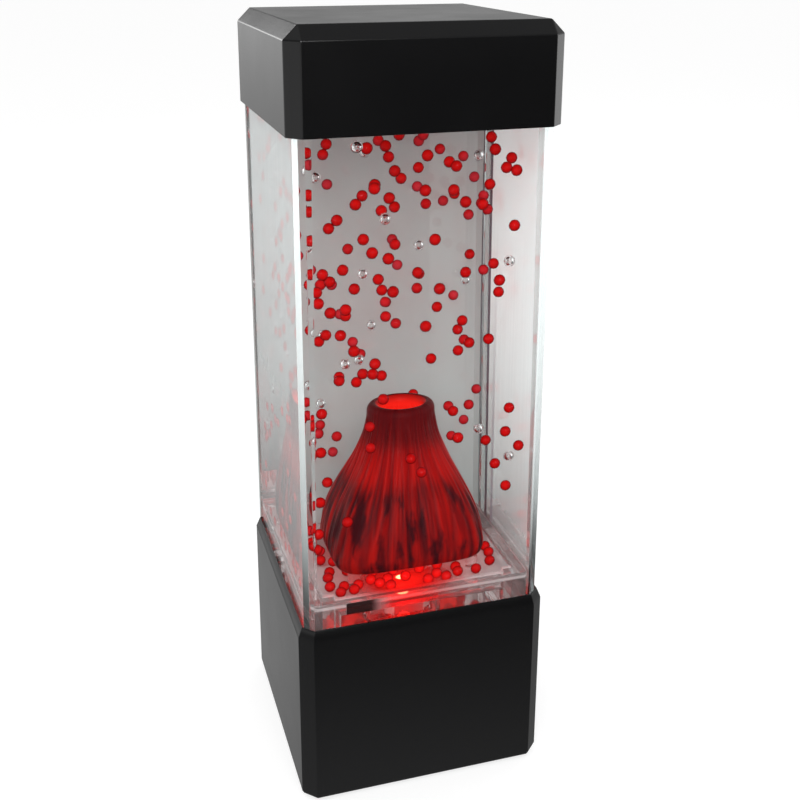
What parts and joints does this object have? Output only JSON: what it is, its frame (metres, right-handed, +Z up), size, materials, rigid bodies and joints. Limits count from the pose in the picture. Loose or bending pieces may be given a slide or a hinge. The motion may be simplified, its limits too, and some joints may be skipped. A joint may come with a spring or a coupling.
{
  "type": "volcano motion lamp",
  "caption": "Clear square tank between a black base and a black lift-off cap, with a hollow fluted volcano and loose beads on a clear tray over a magnet-driven impeller.",
  "frame": {"origin": "centre of the footprint, on the surface that the lamp stands on", "axes": "+Z up, -Y to the front, where the volcano is seen, +Y to the rear with the switch and the inlet"},
  "size_m": [0.1, 0.1, 0.302],
  "materials": {
    "black_plastic": "satin moulded black",
    "clear_acrylic": "clear polished acrylic",
    "grey_film": "satin grey film",
    "red_shell": "translucent red moulding",
    "red_bead": "clear red resin",
    "silicone": "matt translucent silicone",
    "rubber": "matt black rubber",
    "white_plastic": "satin natural plastic",
    "magnet": "nickel plated",
    "steel": "zinc plated",
    "spring_steel": "bright nickel",
    "green_board": "solder mask",
    "red_lens": "clear red epoxy",
    "cell_sleeve": "plain dark sleeve",
    "red_sleeve": "soft insulation",
    "black_sleeve": "soft insulation"
  },
  "bodies": {
    "lamp": {"tank": "clear_acrylic", "back_film": "grey_film", "tray": "clear_acrylic", "jet_grille": "clear_acrylic", "impeller_pin": "steel", "volcano": "red_shell", "bead_1": "red_bead", "bead_2": "red_bead", "bead_3": "red_bead", "bead_4": "red_bead", "bead_5": "red_bead", "bead_6": "red_bead", "bead_7": "red_bead", "base_housing": "black_plastic", "bottom_cover": "black_plastic", "battery_1": "cell_sleeve", "battery_2": "cell_sleeve", "battery_3": "cell_sleeve", "battery_spring_1": "spring_steel", "battery_spring_2": "spring_steel", "battery_spring_3": "spring_steel", "contact_tab_left": "spring_steel", "contact_bridge_left": "spring_steel", "contact_bridge_right": "spring_steel", "contact_tab_right": "spring_steel", "motor_can": "steel", "motor_end_cap": "white_plastic", "motor_bracket": "white_plastic", "led_board": "green_board", "led_1": "red_lens", "led_2": "red_lens", "led_3": "red_lens", "led_4": "red_lens", "control_board": "green_board", "switch_body": "steel", "dc_jack": "black_plastic", "foot_1": "rubber", "foot_2": "rubber", "foot_3": "rubber", "foot_4": "rubber", "cover_screw_1": "steel", "cover_screw_2": "steel", "cover_screw_3": "steel", "cover_screw_4": "steel", "motor_lead": "red_sleeve", "battery_lead_minus": "black_sleeve", "battery_lead_plus": "red_sleeve", "led_lead": "red_sleeve"},
    "lid": {"cap": "black_plastic", "lid_gasket": "silicone"},
    "rotor": {"motor_shaft": "steel", "drive_disc": "white_plastic", "drive_magnet_1": "magnet", "drive_magnet_2": "magnet"},
    "pump": {"impeller": "white_plastic", "impeller_magnet_1": "magnet", "impeller_magnet_2": "magnet"},
    "slider": {"switch_slider": "black_plastic"},
    "door": {"battery_door": "black_plastic", "battery_door_screw": "steel"}
  },
  "joints": [
    {"name": "cap_lift", "type": "slide", "parent": "lamp", "child": "lid", "axis": [0, 0, 1], "range_m": [0, 0.03]},
    {"name": "motor_spin", "type": "hinge", "parent": "lamp", "child": "rotor", "pos_m": [0, 0, 0.0269], "axis": [0, 0, 1], "continuous": true},
    {"name": "impeller_spin", "type": "hinge", "parent": "lamp", "child": "pump", "pos_m": [0, 0, 0.0731], "axis": [0, 0, 1], "continuous": true},
    {"name": "switch_slide", "type": "slide", "parent": "lamp", "child": "slider", "axis": [1, 0, 0], "range_m": [0, 0.003]},
    {"name": "door_drop", "type": "slide", "parent": "lamp", "child": "door", "axis": [0, 0, -1], "range_m": [0, 0.02]}
  ],
  "couplings": [
    {"joint": "impeller_spin", "follows": "motor_spin", "ratio": 1}
  ]
}
